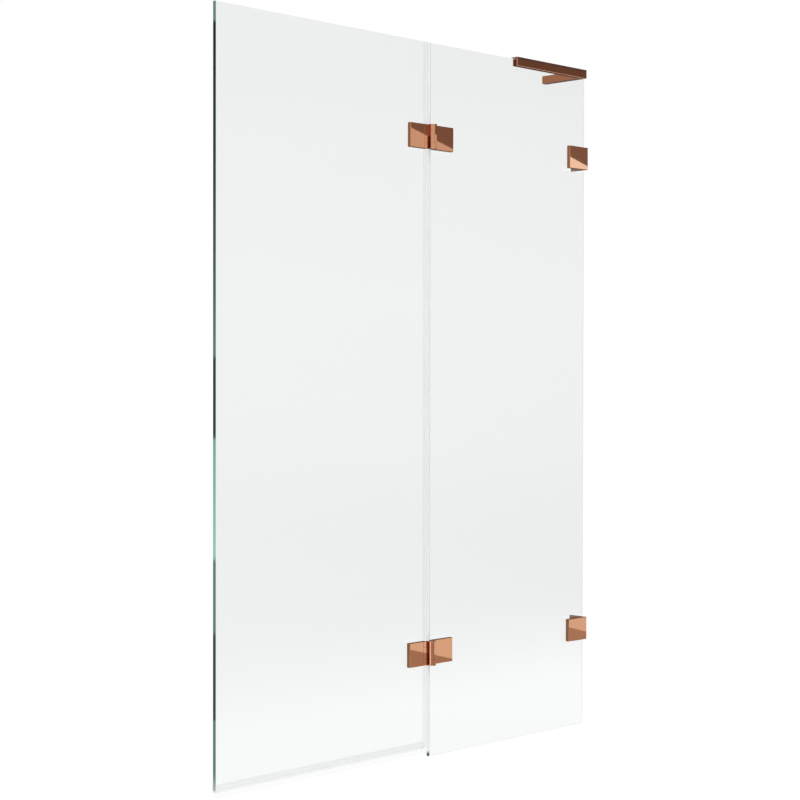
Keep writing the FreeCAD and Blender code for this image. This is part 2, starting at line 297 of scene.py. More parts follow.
def vinylFinish(name, s, covers):
    # see-through extrusion, denser where it turns away
    finish, tree, shader = newFinish(name)
    addTint(tree, shader, s["first"], s["second"], s["tintScale"])
    addMottle(tree, shader.inputs["Roughness"], s["glossScale"], *s["gloss"])
    turned = addNode(tree, "ShaderNodeLayerWeight", {"Blend": s["turn"]})
    cover = addNode(tree, "ShaderNodeMapRange", {"To Min": covers[0], "To Max": covers[1]})
    wire(tree, (turned.outputs["Facing"], cover.inputs["Value"]),
         (cover.outputs["Result"], shader.inputs["Alpha"]))
    return finish


hazyVinyl = vinylFinish("hazyVinyl", vinylSet, vinylSet["hazy"])
fineVinyl = vinylFinish("fineVinyl", vinylSet, vinylSet["fine"])
cutVinyl = vinylFinish("cutVinyl", vinylSet, vinylSet["cut"])


glassSet = {
    "first": (0.921, 0.94, 0.932),
    "second": (0.925, 0.943, 0.936),
    "tintScale": 3.0,
    "ior": 1.5,
}


def glassFinish(s):
    finish, tree, shader = newFinish("clearGlass")
    shader.inputs["Transmission Weight"].default_value = 1.0
    shader.inputs["Roughness"].default_value = 0.0
    shader.inputs["IOR"].default_value = s["ior"]
    addTint(tree, shader, s["first"], s["second"], s["tintScale"])
    return finish


clearGlass = glassFinish(glassSet)


edgeSet = {
    # deep and light: the two ends of the painted light and shade on the free edge
    "deep": (0.009, 0.021, 0.017),
    "light": (0.285, 0.55, 0.475),
    "pale": (0.82, 0.86, 0.85),  # arrises, painted pale in place of the light that the glass lets through
    "sealed": [(0.9, 0.92, 0.91), (0.83, 0.86, 0.85)],  # edge that a seal lies against, foot and top: painted light, paler at the foot
    "seam": [(0.54, 0.56, 0.55), (0.46, 0.48, 0.47)],  # arris beside a seal, foot and top: painted light, paler at the foot
    "corner": (0.045, 0.09, 0.072),  # lowest end of both, dark green below the painted light
    "cornerHeights": (8.5, 10.5),  # mm above the rim, where it begins to change and has changed
    "glow": 0.14,  # painted glow: light that a sealed edge gives off though it is no lamp
    # height above the rim in mm: the colour where the bottom seal wraps the edge, then painted light and
    # shade, as how much light the edge seems to gather, in bands
    "foot": [(0, (0.45, 0.465, 0.46)), (22, (0.45, 0.465, 0.46)), (27, (0.36, 0.42, 0.4)),
             (48, (0.15, 0.26, 0.22))],
    "bands": [(60, 0.36), (152, 0.36), (158, 0.09), (314, 0.09), (320, 0.36), (455, 0.36), (459, 1.0),
              (681, 0.66), (687, 0.06), (834, 0.06), (839, 0.33), (950, 0.2), (1160, 0.06),
              (1459, 0.0), (1464, 0.36), (1500, 0.36)],
    "gloss": (0.06, 0.16),
    "glossScale": 260.0,
    "mirror": 0.1,  # low, so that the dark stretches stay deep
    "seenInside": 0.12,  # cover of an edge looked at through the glass
    "arris": 0.0006,  # faces nearer to a side than this belong to its arris
    "flat": 0.00001,  # and faces nearer than this are the side itself
    "sideways": 0.1,  # least slant of a face that looks along X
}


def edgeFinish(name, s, stops, glow):
    # the colour by height carries painted light and shade, and glow gives that colour off again as painted
    # light
    finish, tree, shader = newFinish(name)
    coord = addNode(tree, "ShaderNodeTexCoord")
    axes = addNode(tree, "ShaderNodeSeparateXYZ")
    height = addNode(tree, "ShaderNodeMapRange", {"From Max": stops[-1][0] * 0.001})  # mm to metres
    ramp = addRamp(tree, [(level / stops[-1][0], colour) for level, colour in stops])
    geometry = addNode(tree, "ShaderNodeNewGeometry")
    cover = addNode(tree, "ShaderNodeMapRange", {"To Min": 1.0, "To Max": s["seenInside"]})
    wire(tree, (coord.outputs["Object"], axes.inputs["Vector"]),
         (axes.outputs["Z"], height.inputs["Value"]),
         (height.outputs["Result"], ramp.inputs["Fac"]),
         (ramp.outputs["Color"], shader.inputs["Base Color"]),
         (ramp.outputs["Color"], shader.inputs["Emission Color"]),
         (geometry.outputs["Backfacing"], cover.inputs["Value"]),
         (cover.outputs["Result"], shader.inputs["Alpha"]))
    addMottle(tree, shader.inputs["Roughness"], s["glossScale"], *s["gloss"])
    shader.inputs["Specular IOR Level"].default_value = s["mirror"]
    shader.inputs["Emission Strength"].default_value = glow
    return finish


def paintedEdgeBands(s):
    # painted light and shade of the free edge by height, between its deep and its light colour
    return s["foot"] + [(level, tuple(d + (l - d) * light for d, l in zip(s["deep"], s["light"])))
                        for level, light in s["bands"]]


def paintedSealTones(s, foot, top):
    # painted light on an edge beside a seal by height, paler at the foot, with its dark lowest corner
    before, after = s["cornerHeights"]
    return [(0, s["corner"]), (before, s["corner"]), (after, foot), (s["bands"][-1][0], top)]


paintedGreenEdge = edgeFinish("paintedGreenEdge", edgeSet, paintedEdgeBands(edgeSet), 0.0)
paleEdge = edgeFinish("paleEdge", edgeSet, [(0, edgeSet["pale"]), (1, edgeSet["pale"])], 0.0)
paintedSealedEdge = edgeFinish("paintedSealedEdge", edgeSet, paintedSealTones(edgeSet, *edgeSet["sealed"]), edgeSet["glow"])
paintedSealedArris = edgeFinish("paintedSealedArris", edgeSet, paintedSealTones(edgeSet, *edgeSet["seam"]), 0.0)
print("finishes made")


# glass panes: the solid's own mesh, with ground edges in their own finish, painted with light and shade by
# height
paneFinishes = (clearGlass, paintedGreenEdge, paleEdge, paintedSealedEdge, paintedSealedArris)


def makePane(name, node, body, sealedSide):
    mesh = nodes[node].data.copy()
    mesh.name = name
    mesh.attributes.remove(mesh.attributes["custom_normal"])
    mesh.materials.clear()
    for finish in paneFinishes:
        mesh.materials.append(finish)
    low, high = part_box(node)
    work = bmesh.new()
    work.from_mesh(mesh)
    bmesh.ops.remove_doubles(work, verts=work.verts, dist=1e-6)
    for face in work.faces:
        face.smooth = False
        middle = face.calc_center_median()
        inward = min(middle.y - low.y, high.y - middle.y)  # from the nearer side of the pane
        towards = face.normal.x * sealedSide
        arris = inward < edgeSet["arris"]
        if inward < edgeSet["flat"]:
            finish = clearGlass
        elif towards > edgeSet["sideways"]:
            finish = paintedSealedArris if arris else paintedSealedEdge
        else:
            finish = paleEdge if arris and towards > -edgeSet["sideways"] else paintedGreenEdge
        face.material_index = paneFinishes.index(finish)
    work.to_mesh(mesh)
    work.free()
    pane = bpy.data.objects.new(name, mesh)
    scene.collection.objects.link(pane)
    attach(pane, body)
    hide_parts(node)
    return pane


makePane("doorPane", "door_glass", "door", 1)
makePane("fixedPane", "fixed_glass", "fixed_side", -1)
print("panes made")


# strips and sheets: an outline with rounded corners, swept along a line and copied

def stripTree():
    tree, given, result = openGroup(
        "sweptStrip", "GeometryNodeTree",
        [("Outline", "Object"), ("Start", "Vector"), ("End", "Vector"), ("Corner", "Float"),
         ("Copies", "Int"), ("Step", "Vector"), ("Finish", "Material")],
        [("Geometry", "Geometry")])
    outline = addNode(tree, "GeometryNodeObjectInfo")
    rounding = addNode(tree, "GeometryNodeFilletCurve", {"Count": 3, "Limit Radius": True}, mode="POLY")
    path = addNode(tree, "GeometryNodeCurvePrimitiveLine")
    sweep = addNode(tree, "GeometryNodeCurveToMesh", {"Fill Caps": True})
    row = addNode(tree, "GeometryNodeMeshLine")
    copies = addNode(tree, "GeometryNodeInstanceOnPoints")
    realize = addNode(tree, "GeometryNodeRealizeInstances")
    finish = addNode(tree, "GeometryNodeSetMaterial")
    wire(tree, (given.outputs["Outline"], outline.inputs["Object"]),
         (outline.outputs["Geometry"], rounding.inputs["Curve"]),
         (given.outputs["Corner"], rounding.inputs["Radius"]),
         (given.outputs["Start"], path.inputs["Start"]),
         (given.outputs["End"], path.inputs["End"]),
         (path.outputs["Curve"], sweep.inputs["Curve"]),
         (rounding.outputs["Curve"], sweep.inputs["Profile Curve"]),
         (given.outputs["Copies"], row.inputs["Count"]),
         (given.outputs["Step"], row.inputs["Offset"]),
         (row.outputs["Mesh"], copies.inputs["Points"]),
         (sweep.outputs["Mesh"], copies.inputs["Instance"]),
         (copies.outputs["Instances"], realize.inputs["Geometry"]),
         (realize.outputs["Geometry"], finish.inputs["Geometry"]),
         (given.outputs["Finish"], finish.inputs["Material"]),
         (finish.outputs["Geometry"], result.inputs["Geometry"]))
    return tree


def growPiece(name, tree, values):
    # runs a tree on an empty mesh and keeps the result as a plain mesh
    piece = bpy.data.objects.new(name, bpy.data.meshes.new(name + "Seed"))
    scene.collection.objects.link(piece)
    modifier = piece.modifiers.new("grow", "NODES")
    modifier.node_group = tree
    for item in tree.interface.items_tree:
        if item.in_out == "INPUT":
            modifier[item.identifier] = values[item.name]
    graph = bpy.context.evaluated_depsgraph_get()
    mesh = bpy.data.meshes.new_from_object(piece.evaluated_get(graph), depsgraph=graph)
    mesh.name = name
    piece.modifiers.remove(modifier)
    piece.data = mesh
    return piece


sweptStrip = stripTree()


def outlineCurve(points):
    # closed outline, turned so that the swept faces point outwards
    area = sum(a[0] * b[1] - b[0] * a[1] for a, b in zip(points, points[1:] + points[:1]))
    ordered = points if area > 0 else points[::-1]
    data = bpy.data.curves.new("outline", "CURVE")
    data.dimensions = "2D"
    data.fill_mode = "NONE"
    spline = data.splines.new("POLY")
    spline.points.add(len(ordered) - 1)
    for point, (across, along) in zip(spline.points, ordered):
        point.co = (across, along, 0, 1)
    spline.use_cyclic_u = True
    curve = bpy.data.objects.new("outline", data)
    scene.collection.objects.link(curve)
    return curve


def sweepStrip(name, points, start, end, corner, finish, copies=1, step=(0, 0, 0)):
    # along Z an outline is given in x and y; along X or Y the height is its second number
    upright = start[0] == end[0] and start[1] == end[1]
    outline = outlineCurve([(a, b) if upright else (a, -b) for a, b in points])
    strip = growPiece(name, sweptStrip, {
        "Outline": outline, "Start": start, "End": end, "Corner": corner,
        "Copies": copies, "Step": step, "Finish": finish})
    bpy.data.objects.remove(outline)
    return strip


def settle(piece, body, slot, *replaced):
    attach(piece, body)
    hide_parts(*replaced)


def cutEnds(piece, axis, finish):
    # the sawn ends of an extrusion are duller than its drawn faces
    piece.data.materials.append(finish)
    for face in piece.data.polygons:
        if abs(face.normal[axis]) > 0.99:
            face.material_index = 1


bottomSealSet = {
    "glassGap": 0.00006,  # so that no two faces share a plane
    "web": 0.003,  # under the glass
    "corner": 0.0003,
    "lipThick": (0.0012, 0.0007),
    "lipLean": 0.003,
    "lipCurve": 1.5,
    "lipSteps": 6,
    "lipGap": 0.00005,  # under the web
    "lipCorner": 0.0001,
}


def makeBottomSeal(s):
    low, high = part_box("door_bottom_seal")
    paneLow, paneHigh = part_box("door_glass")
    inner = paneHigh.y + s["glassGap"]
    outer = high.y
    webTop = paneLow.z - s["glassGap"]
    webBottom = paneLow.z - s["web"]
    channel = [(-outer, high.z), (-outer, webBottom), (outer, webBottom), (outer, high.z),
               (inner, high.z), (inner, webTop), (-inner, webTop), (-inner, high.z)]
    start, end = (high.x, 0, 0), (low.x, 0, 0)
    grip = sweepStrip("doorSealGrip", channel, start, end, s["corner"], hazyVinyl)
    cutEnds(grip, 0, cutVinyl)
    settle(grip, "door", "seal_vinyl", "door_bottom_seal")
    # the lip thins and leans towards the bath as it drops
    front, back = [], []
    for step in range(s["lipSteps"] + 1):
        share = step / s["lipSteps"]
        lean = s["lipLean"] * share ** s["lipCurve"]
        half = (s["lipThick"][0] * (1 - share) + s["lipThick"][1] * share) / 2
        level = webBottom - s["lipGap"] + (low.z - webBottom) * share
        front.append((lean - half, level))
        back.append((lean + half, level))
    lip = sweepStrip("doorSealLip", front + back[::-1], start, end, s["lipCorner"], fineVinyl)
    cutEnds(lip, 0, hazyVinyl)
    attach(lip, "door")


sideSealSet = {
    "glassGap": 0.00006,
    "web": 0.0012,
    "bead": 0.0025,  # half thickness at its root
    "nose": 0.0013,
    "corner": 0.0004,
}


def makeSideSeal(name, node, s):
    low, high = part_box(node)
    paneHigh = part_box("door_glass")[1]
    inner = paneHigh.y + s["glassGap"]
    edge = paneHigh.x + s["glassGap"]
    root = paneHigh.x + s["web"]
    outline = [(low.x, low.y), (root, low.y), (root, -s["bead"]), (high.x, -s["nose"]),
               (high.x, s["nose"]), (root, s["bead"]), (root, high.y), (low.x, high.y),
               (low.x, inner), (edge, inner), (edge, -inner), (low.x, -inner)]
    strip = sweepStrip(name, outline, (0, 0, low.z), (0, 0, high.z), s["corner"], fineVinyl)
    cutEnds(strip, 2, cutVinyl)
    settle(strip, "door", "seal_vinyl", node)


makeBottomSeal(bottomSealSet)
for part in ("Bottom", "Middle", "Top"):
    makeSideSeal("hingeSeal" + part, "hinge_seal_" + part.lower(), sideSealSet)
print("seals swept")


sheetSet = {
    "corner": 0.002,
    "skin": 0.00006,  # clear of the glass and the metal on either side
    "drawnBack": 0.006,  # liner inside the rail's open end
    "linerCorner": 0.0002,
}


def makeSheets(name, body, lower, upper, s):
    # the same sheet behind the lower and the upper fitting
    low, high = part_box(lower)
    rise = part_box(upper)[0].z - low.z
    outline = [(low.x, low.z), (high.x, low.z), (high.x, high.z), (low.x, high.z)]
    start = (0, low.y + s["skin"], 0)
    end = (0, high.y - s["skin"], 0)
    sheets = sweepStrip(name, outline, start, end, s["corner"], gasketVinyl, 2, (0, 0, rise))
    settle(sheets, body, "gasket_vinyl", lower, upper)


for name, body, node in (("fixedLeafSheets", "fixed_side", "hinge_fixed_gasket"),
                         ("doorLeafSheets", "door", "hinge_door_gasket"),
                         ("clampFrontSheets", "fixed_side", "clamp_front_gasket"),
                         ("clampRearSheets", "fixed_side", "clamp_rear_gasket")):
    makeSheets(name, body, "lower_" + node, "upper_" + node, sheetSet)


def makeRailLiner(s):
    low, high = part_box("stabiliser_liner")
    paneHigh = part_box("fixed_glass")[1]
    outer = high.y - s["skin"]
    inner = paneHigh.y + s["skin"]
    top = high.z - s["skin"]
    under = paneHigh.z + s["skin"]
    outline = [(-outer, low.z), (-inner, low.z), (-inner, under), (inner, under),
               (inner, low.z), (outer, low.z), (outer, top), (-outer, top)]
    start = low.x + s["drawnBack"]
    liner = sweepStrip("railLiner", outline, (high.x, 0, 0), (start, 0, 0), s["linerCorner"], gasketVinyl)
    settle(liner, "fixed_side", "gasket_vinyl", "stabiliser_liner")


makeRailLiner(sheetSet)
print("gasket sheets and rail liner made")


# screws that pass through the glass, in rows of two behind each fitting
screwSet = {
    "shank": 0.003,
    "headDepth": 0.003,
    "flats": 0.004,
    "socketDepth": 0.0022,
    "rim": 0.00025,
    "segments": 48,
}


def screwMesh(name, headRadius, length, s):
    work = bmesh.new()
    turns = [2 * math.pi * k / s["segments"] for k in range(s["segments"])]

    def ring(radius, depth):
        return [work.verts.new((radius * math.cos(a), -depth, radius * math.sin(a))) for a in turns]

    def hexRing(flats, depth):
        corner = math.pi / 3
        verts = []
        for a in turns:
            radius = flats / 2 / math.cos((a + corner / 2) % corner - corner / 2)
            verts.append(work.verts.new((radius * math.cos(a), -depth, radius * math.sin(a))))
        return verts

    rings = [
        hexRing(s["flats"], s["socketDepth"]),
        hexRing(s["flats"], s["rim"]),
        hexRing(s["flats"] + 2 * s["rim"], 0),
        ring(headRadius - s["rim"], 0),
        ring(headRadius, s["rim"]),
        ring(s["shank"], s["headDepth"]),
        ring(s["shank"], length - s["rim"]),
        ring(s["shank"] - s["rim"], length),
    ]
    for first, second in zip(rings, rings[1:]):
        for k in range(s["segments"]):
            after = (k + 1) % s["segments"]
            work.faces.new((first[k], first[after], second[after], second[k]))
    work.faces.new(rings[0][::-1])
    work.faces.new(rings[-1])
    bmesh.ops.recalc_face_normals(work, faces=work.faces)
    mesh = bpy.data.meshes.new(name)
    work.to_mesh(mesh)
    work.free()
    return mesh


def gridTree():
    tree, given, result = openGroup(
        "screwGrid", "GeometryNodeTree",
        [("Screw", "Object"), ("First", "Vector"), ("Pitch", "Vector"), ("Rise", "Vector"),
         ("Per row", "Int"), ("Rows", "Int"), ("Finish", "Material")],
        [("Geometry", "Geometry")])
    screw = addNode(tree, "GeometryNodeObjectInfo")
    row = addNode(tree, "GeometryNodeMeshLine")
    stack = addNode(tree, "GeometryNodeMeshLine")
    inRow = addNode(tree, "GeometryNodeInstanceOnPoints")
    inStack = addNode(tree, "GeometryNodeInstanceOnPoints")
    realize = addNode(tree, "GeometryNodeRealizeInstances")
    finish = addNode(tree, "GeometryNodeSetMaterial")
    wire(tree, (given.outputs["Screw"], screw.inputs["Object"]),
         (given.outputs["Per row"], row.inputs["Count"]),
         (given.outputs["Pitch"], row.inputs["Offset"]),
         (given.outputs["Rows"], stack.inputs["Count"]),
         (given.outputs["First"], stack.inputs["Start Location"]),
         (given.outputs["Rise"], stack.inputs["Offset"]),
         (row.outputs["Mesh"], inRow.inputs["Points"]),
         (screw.outputs["Geometry"], inRow.inputs["Instance"]),
         (stack.outputs["Mesh"], inStack.inputs["Points"]),
         (inRow.outputs["Instances"], inStack.inputs["Instance"]),
         (inStack.outputs["Instances"], realize.inputs["Geometry"]),
         (realize.outputs["Geometry"], finish.inputs["Geometry"]),
         (given.outputs["Finish"], finish.inputs["Material"]),
         (finish.outputs["Geometry"], result.inputs["Geometry"]))
    return tree


screwGrid = gridTree()


def makeScrews(name, body, lower, upper, s):
    low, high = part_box(lower)
    size = high - low
    headRadius = min(size.x, size.z) / 2
    pitch = Vector((size.x - 2 * headRadius, 0, size.z - 2 * headRadius))
    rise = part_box(upper)[0].z - low.z
    pattern = bpy.data.objects.new("screwPattern", screwMesh("screwPattern", headRadius, size.y, s))
    scene.collection.objects.link(pattern)
    screws = growPiece(name, screwGrid, {
        "Screw": pattern, "First": (low.x + headRadius, high.y, low.z + headRadius),
        "Pitch": pitch, "Rise": (0, 0, rise), "Per row": 2, "Rows": 2, "Finish": stainlessSteel})
    bpy.data.objects.remove(pattern)
    settle(screws, body, "stainless_steel", lower, upper)


for name, body, node in (("fixedLeafScrews", "fixed_side", "hinge_fixed_screws"),
                         ("doorLeafScrews", "door", "hinge_door_screws"),
                         ("clampBolts", "fixed_side", "clamp_bolts")):
    makeScrews(name, body, "lower_" + node, "upper_" + node, screwSet)
print("screws set in rows")


# the solids that stay take the finish of their slot
finishOfSlot = {
    "polished_copper": polishedCopper,
    "stainless_steel": stainlessSteel,
    "white_nylon": whiteNylon,
    "gasket_vinyl": gasketVinyl,
    "seal_vinyl": hazyVinyl,
    "clear_glass": clearGlass,
}
for node in nodes.values():
    for slot in node.material_slots:
        slot.material = finishOfSlot[slot.material.name.split(".")[0]]
print("finishes given to the solids")


# studio: white world, pale floor, soft lamps, and cards that only reflections see
studioSet = {
    "ambient": 0.8,
    "floorSpread": 60.0,
    "floorDrop": 0.0005,
    "floorGlow": 0.952,
    "floorTone": 0.06,
    # metres from the panes' plane towards the viewer, and the tone that mirrors show there
    "floorMirror": [(-1.2, 0.22), (-0.6, 0.2), (-0.3, 0.12), (-0.02, 0.12), (0.0, 1.15), (0.4, 1.15),
                    (0.6, 0.92), (0.9, 0.55), (1.45, 0.2), (2.0, 0.1)],
}


def makeWorld(s):
    world = bpy.data.worlds.new("studioWorld")
    scene.world = world
    world.use_nodes = True
    tree = world.node_tree
    back = tree.nodes["Background"]
    path = addNode(tree, "ShaderNodeLightPath")
    either = addNode(tree, "ShaderNodeMath", operation="MAXIMUM")
    seen = addNode(tree, "ShaderNodeMath", operation="MAXIMUM")
    mix = addNode(tree, "ShaderNodeMix", data_type="RGBA")
    mix.inputs[6].default_value = (s["ambient"], s["ambient"], s["ambient"], 1)
    mix.inputs[7].default_value = (1, 1, 1, 1)
    wire(tree, (path.outputs["Is Camera Ray"], either.inputs[0]),
         (path.outputs["Is Glossy Ray"], either.inputs[1]),
         (either.outputs[0], seen.inputs[0]),
         (path.outputs["Is Transmission Ray"], seen.inputs[1]),
         (seen.outputs[0], mix.inputs["Factor"]),
         (mix.outputs[2], back.inputs["Color"]))
    back.inputs["Strength"].default_value = 1.0


def stageMesh(name, verts, faces, finish):
    mesh = bpy.data.meshes.new(name)
    mesh.from_pydata(verts, [], faces)
    mesh.materials.append(finish)
    item = bpy.data.objects.new(name, mesh)
    scene.collection.objects.link(item)
    return item


def mirroredTest(tree, bounces):
    # 1 once a ray has been mirrored that often on its way
    path = addNode(tree, "ShaderNodeLightPath")
    test = addNode(tree, "ShaderNodeMath", operation="GREATER_THAN")
    test.inputs[1].default_value = bounces - 0.5
    wire(tree, (path.outputs["Glossy Depth"], test.inputs[0]))
    return test.outputs[0]


def makeFloor(s):
    finish = bpy.data.materials.new("paleFloor")
    finish.use_nodes = True
    finish.cycles.emission_sampling = "NONE"
    tree = finish.node_tree
    tree.nodes.remove(tree.nodes["Principled BSDF"])
    out = tree.nodes["Material Output"]
    tone = s["floorTone"]
    matte = addNode(tree, "ShaderNodeBsdfDiffuse", {"Color": (tone, tone, tone, 1)})
    glow = addNode(tree, "ShaderNodeEmission", {"Strength": s["floorGlow"]})
    plain = addNode(tree, "ShaderNodeAddShader")
    coord = addNode(tree, "ShaderNodeTexCoord")
    axes = addNode(tree, "ShaderNodeSeparateXYZ")
    near, far = s["floorMirror"][0][0], s["floorMirror"][-1][0]
    share = addNode(tree, "ShaderNodeMapRange", {"From Min": -near, "From Max": -far})
    ramp = addRamp(tree, [((away - near) / (far - near), tone) for away, tone in s["floorMirror"]])
    mirrored = addNode(tree, "ShaderNodeEmission")
    choose = addNode(tree, "ShaderNodeMixShader")
    wire(tree, (matte.outputs[0], plain.inputs[0]), (glow.outputs[0], plain.inputs[1]),
         (coord.outputs["Object"], axes.inputs["Vector"]),
         (axes.outputs["Y"], share.inputs["Value"]),
         (share.outputs["Result"], ramp.inputs["Fac"]),
         (ramp.outputs["Color"], mirrored.inputs["Color"]),
         (mirroredTest(tree, 1), choose.inputs["Fac"]),
         (plain.outputs[0], choose.inputs[1]),
         (mirrored.outputs[0], choose.inputs[2]),
         (choose.outputs[0], out.inputs["Surface"]))
    half, level = s["floorSpread"] / 2, cadLow.z - s["floorDrop"]
    corners = [(-half, -half, level), (half, -half, level), (half, half, level), (-half, half, level)]
    stageMesh("floor", corners, [(0, 1, 2, 3)], finish)


def cardFinish(name, bounces):
    # shows its tone only to rays mirrored so many times, and lets all others pass
    finish = bpy.data.materials.new(name)
    finish.use_nodes = True
    finish.cycles.emission_sampling = "NONE"
    tree = finish.node_tree
    tree.nodes.remove(tree.nodes["Principled BSDF"])
    tone = addNode(tree, "ShaderNodeAttribute", attribute_name="tone")
    glow = addNode(tree, "ShaderNodeEmission")
    clear = addNode(tree, "ShaderNodeBsdfTransparent")
    choose = addNode(tree, "ShaderNodeMixShader")
    wire(tree, (tone.outputs["Color"], glow.inputs["Color"]),
         (mirroredTest(tree, bounces), choose.inputs["Fac"]),
         (clear.outputs[0], choose.inputs[1]),
         (glow.outputs[0], choose.inputs[2]),
         (choose.outputs[0], tree.nodes["Material Output"].inputs["Surface"]))
    return finish


def makeCard(name, finish, verts, faces, tones):
    card = stageMesh(name, verts, faces, finish)
    layer = card.data.color_attributes.new("tone", "FLOAT_COLOR", "POINT")
    for point, tone in zip(layer.data, tones):
        point.color = (*tone, 1)
    card.visible_camera = False
    card.visible_diffuse = False
    card.visible_shadow = False
    card.visible_volume_scatter = False
    return card


tentSet = {
    "radius": 3.2,
    "crown": 3.6,  # height of the opening in the roof
    "mouth": 0.9,  # radius of that opening
    "roof": 0.1,
    "warm": (1.0, 0.82, 0.77),
    "cool": (0.85, 1.0, 1.1),
    "turnHeights": (0.5, 1.1),  # low tones below, high tones above
    # bearing in degrees from +X, the tone low and high, and how warm it is
    "walls": [(-180, 0.42, 0.4, 0.5), (-135, 0.33, 0.68, 0.5), (-90, 0.42, 0.4, 1), (-60, 0.2, 0.16, 1),
              (-30, 0.2, 0.13, 1), (0, 0.2, 0.16, 1), (45, 0.16, 0.16, 0.7), (90, 0.35, 0.35, 0.3),
              (135, 0.28, 0.23, 0.75), (180, 0.42, 0.4, 0.5)],
    "segments": 72,
    "levels": (0.0, 0.5, 0.8, 1.1, 1.8, 2.6),
}


def makeTent(s):
    middle = (cadLow.x + cadHigh.x) / 2
    rings = [(s["radius"], level) for level in s["levels"]] + [(s["mouth"], s["crown"])]
    verts, tones, faces = [], [], []
    for radius, level in rings:
        lift = min(max((level - s["turnHeights"][0]) / (s["turnHeights"][1] - s["turnHeights"][0]), 0), 1)
        for k in range(s["segments"]):
            bearing = -180 + 360 * k / s["segments"]
            a = math.radians(bearing)
            verts.append((middle + radius * math.cos(a), radius * math.sin(a), level))
            for first, second in zip(s["walls"], s["walls"][1:]):
                if first[0] <= bearing <= second[0]:
                    t = (bearing - first[0]) / (second[0] - first[0])
                    low, high, warmth = (p + (q - p) * t for p, q in zip(first[1:], second[1:]))
            tone = s["roof"] if radius < s["radius"] else low + (high - low) * lift
            tones.append([tone * (w * warmth + c * (1 - warmth)) for w, c in zip(s["warm"], s["cool"])])
    for r in range(len(rings) - 1):
        for k in range(s["segments"]):
            after = (k + 1) % s["segments"]
            first, second = r * s["segments"], (r + 1) * s["segments"]
            faces.append((first + k, first + after, second + after, second + k))
    makeCard("studioTent", toneCard, verts, faces, tones)


# what the panes mirror, and cards on the floor that the lower bevels of fittings mirror
sweepSet = {
    "radius": 3.0,
    "bearings": (-85, -5),
    "segments": 16,
    # height and tone
    "tones": [(0.0, 0.12), (0.2, 0.14), (0.36, 0.22), (0.53, 0.38), (0.71, 0.42), (0.9, 0.44),
              (1.1, 0.48), (1.35, 0.38), (1.7, 0.3), (1.85, 0.17)],
    # x from and to, metres towards the viewer from and to, and the tone on the floor there
    "bevels": [(0.85, 2.0, 0.18, 0.32, 0.15), (1.65, 2.25, 0.36, 0.46, 0.7)],
}


def makeSweep(s):
    middle = (cadLow.x + cadHigh.x) / 2
    first, last = s["bearings"]
    verts, tones, faces = [], [], []
    for level, tone in s["tones"]:
        for k in range(s["segments"] + 1):
            a = math.radians(first + (last - first) * k / s["segments"])
            verts.append((middle + s["radius"] * math.cos(a), s["radius"] * math.sin(a), level))
            tones.append((tone, tone, tone))
    row = s["segments"] + 1
    for r in range(len(s["tones"]) - 1):
        for k in range(s["segments"]):
            corner = r * row + k
            faces.append((corner, corner + 1, corner + row + 1, corner + row))
    makeCard("paneSweep", toneCard, verts, faces, tones)
    for x0, x1, y0, y1, tone in s["bevels"]:
        corners = [(x0, -y0, cadLow.z), (x0, -y1, cadLow.z), (x1, -y1, cadLow.z), (x1, -y0, cadLow.z)]
        makeCard("bevelCard", toneCard, corners, [(0, 1, 2, 3)], [(tone,) * 3] * 4)


# two-tone cards, each standing where the camera sees it mirrored in one fitting's plate
cardSet = {
    "reach": 0.75,  # from the plate to the card
    "slope": -0.258,  # of the split across the plate
    "margin": 0.004,
    # where the split crosses the plate's mid height (metres from its left end), tones above and below
    "upperHinge": {"plates": ("upper_hinge_door_leaf", "upper_hinge_fixed_leaf"), "crossing": 0.0544,
                   "above": (0.19, 0.15, 0.145), "below": (0.61, 0.6, 0.59),
                   "nook": ((0.235, 0.2, 0.28), (0.06, 0.035, 0.03))},
    "lowerHinge": {"plates": ("lower_hinge_door_leaf", "lower_hinge_fixed_leaf"), "crossing": 0.0515,
                   "above": (0.72, 0.75, 0.77), "below": (0.37, 0.315, 0.29),
                   "nook": ((0.13, 0.075, 0.075), (0.055, 0.03, 0.025))},
    "upperClamp": {"plates": ("upper_clamp_plate",), "crossing": -0.001,
                   "above": (0.21, 0.17, 0.16), "below": (0.92, 1.13, 1.3)},
    "lowerClamp": {"plates": ("lower_clamp_plate",), "crossing": 0.0304,
                   "above": (0.71, 0.74, 0.76), "below": (0.405, 0.36, 0.345)},
    "nookDepth": 0.0095,  # beside a knuckle, where the plate and the knuckle mirror each other
    "nookReach": 0.2,
}


def throwCard(name, finish, eye, centre, reach, patches):
    # spreads patches around a centre, as a mirrored eye sees them, on a plane beyond it
    way = (centre - eye).normalized()
    depth = (centre - eye).length + reach
    verts, faces, tones = [], [], []
    for corners, tone in patches:
        faces.append(tuple(range(len(verts), len(verts) + len(corners))))
        for corner in corners:
            ray = Vector(corner) - eye
            verts.append(eye + ray * (depth / ray.dot(way)))
            tones.append(tone)
    makeCard(name, finish, verts, faces, tones)


